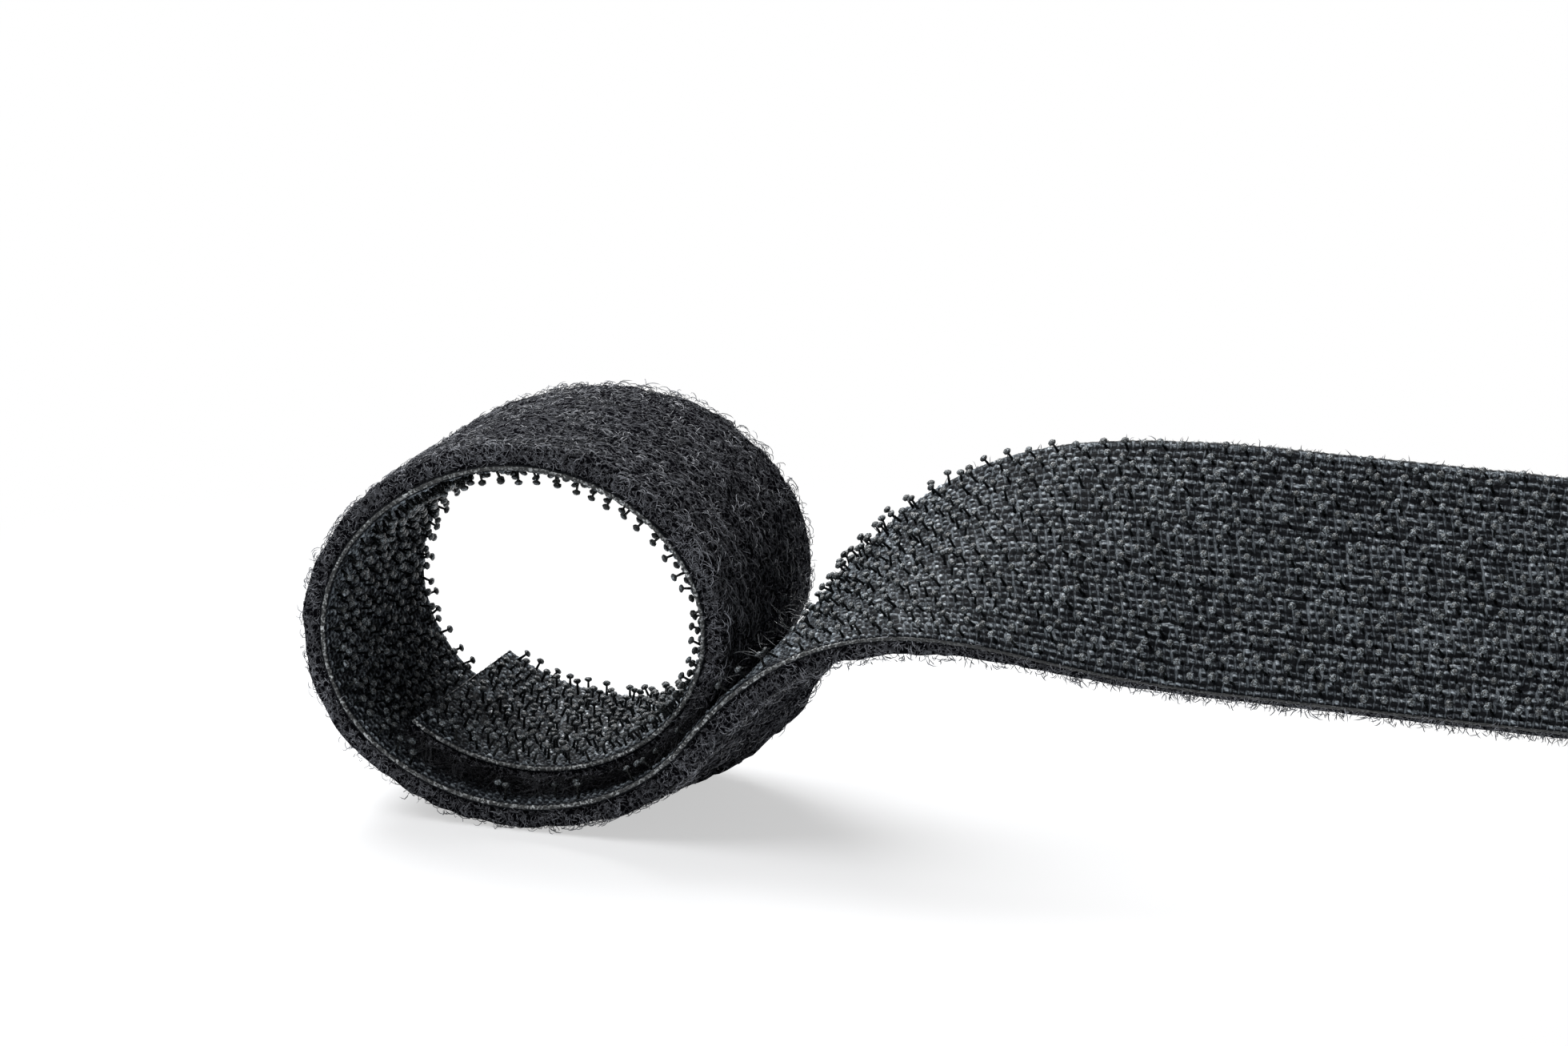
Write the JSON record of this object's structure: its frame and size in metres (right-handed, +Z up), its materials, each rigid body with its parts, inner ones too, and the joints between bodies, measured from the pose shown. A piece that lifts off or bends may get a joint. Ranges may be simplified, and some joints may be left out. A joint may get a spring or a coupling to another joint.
{
  "type": "hook and loop cable tie",
  "caption": "Back-to-back hook and loop strap closed round a cable bundle, with a long twisted free end.",
  "frame": {"origin": "on the table under the middle of the ring", "axes": "+Z up, +Y along the ring's axis away from the camera, +X the way the free end runs"},
  "size_m": [0.1157, 0.0143, 0.0198],
  "materials": {
    "loop_pile": "black brushed loop pile",
    "hook_weave": "black woven ground with moulded mushroom hooks"
  },
  "bodies": {
    "root": {"loop_tape": "loop_pile", "hook_tape": "hook_weave"}
  },
  "joints": []
}
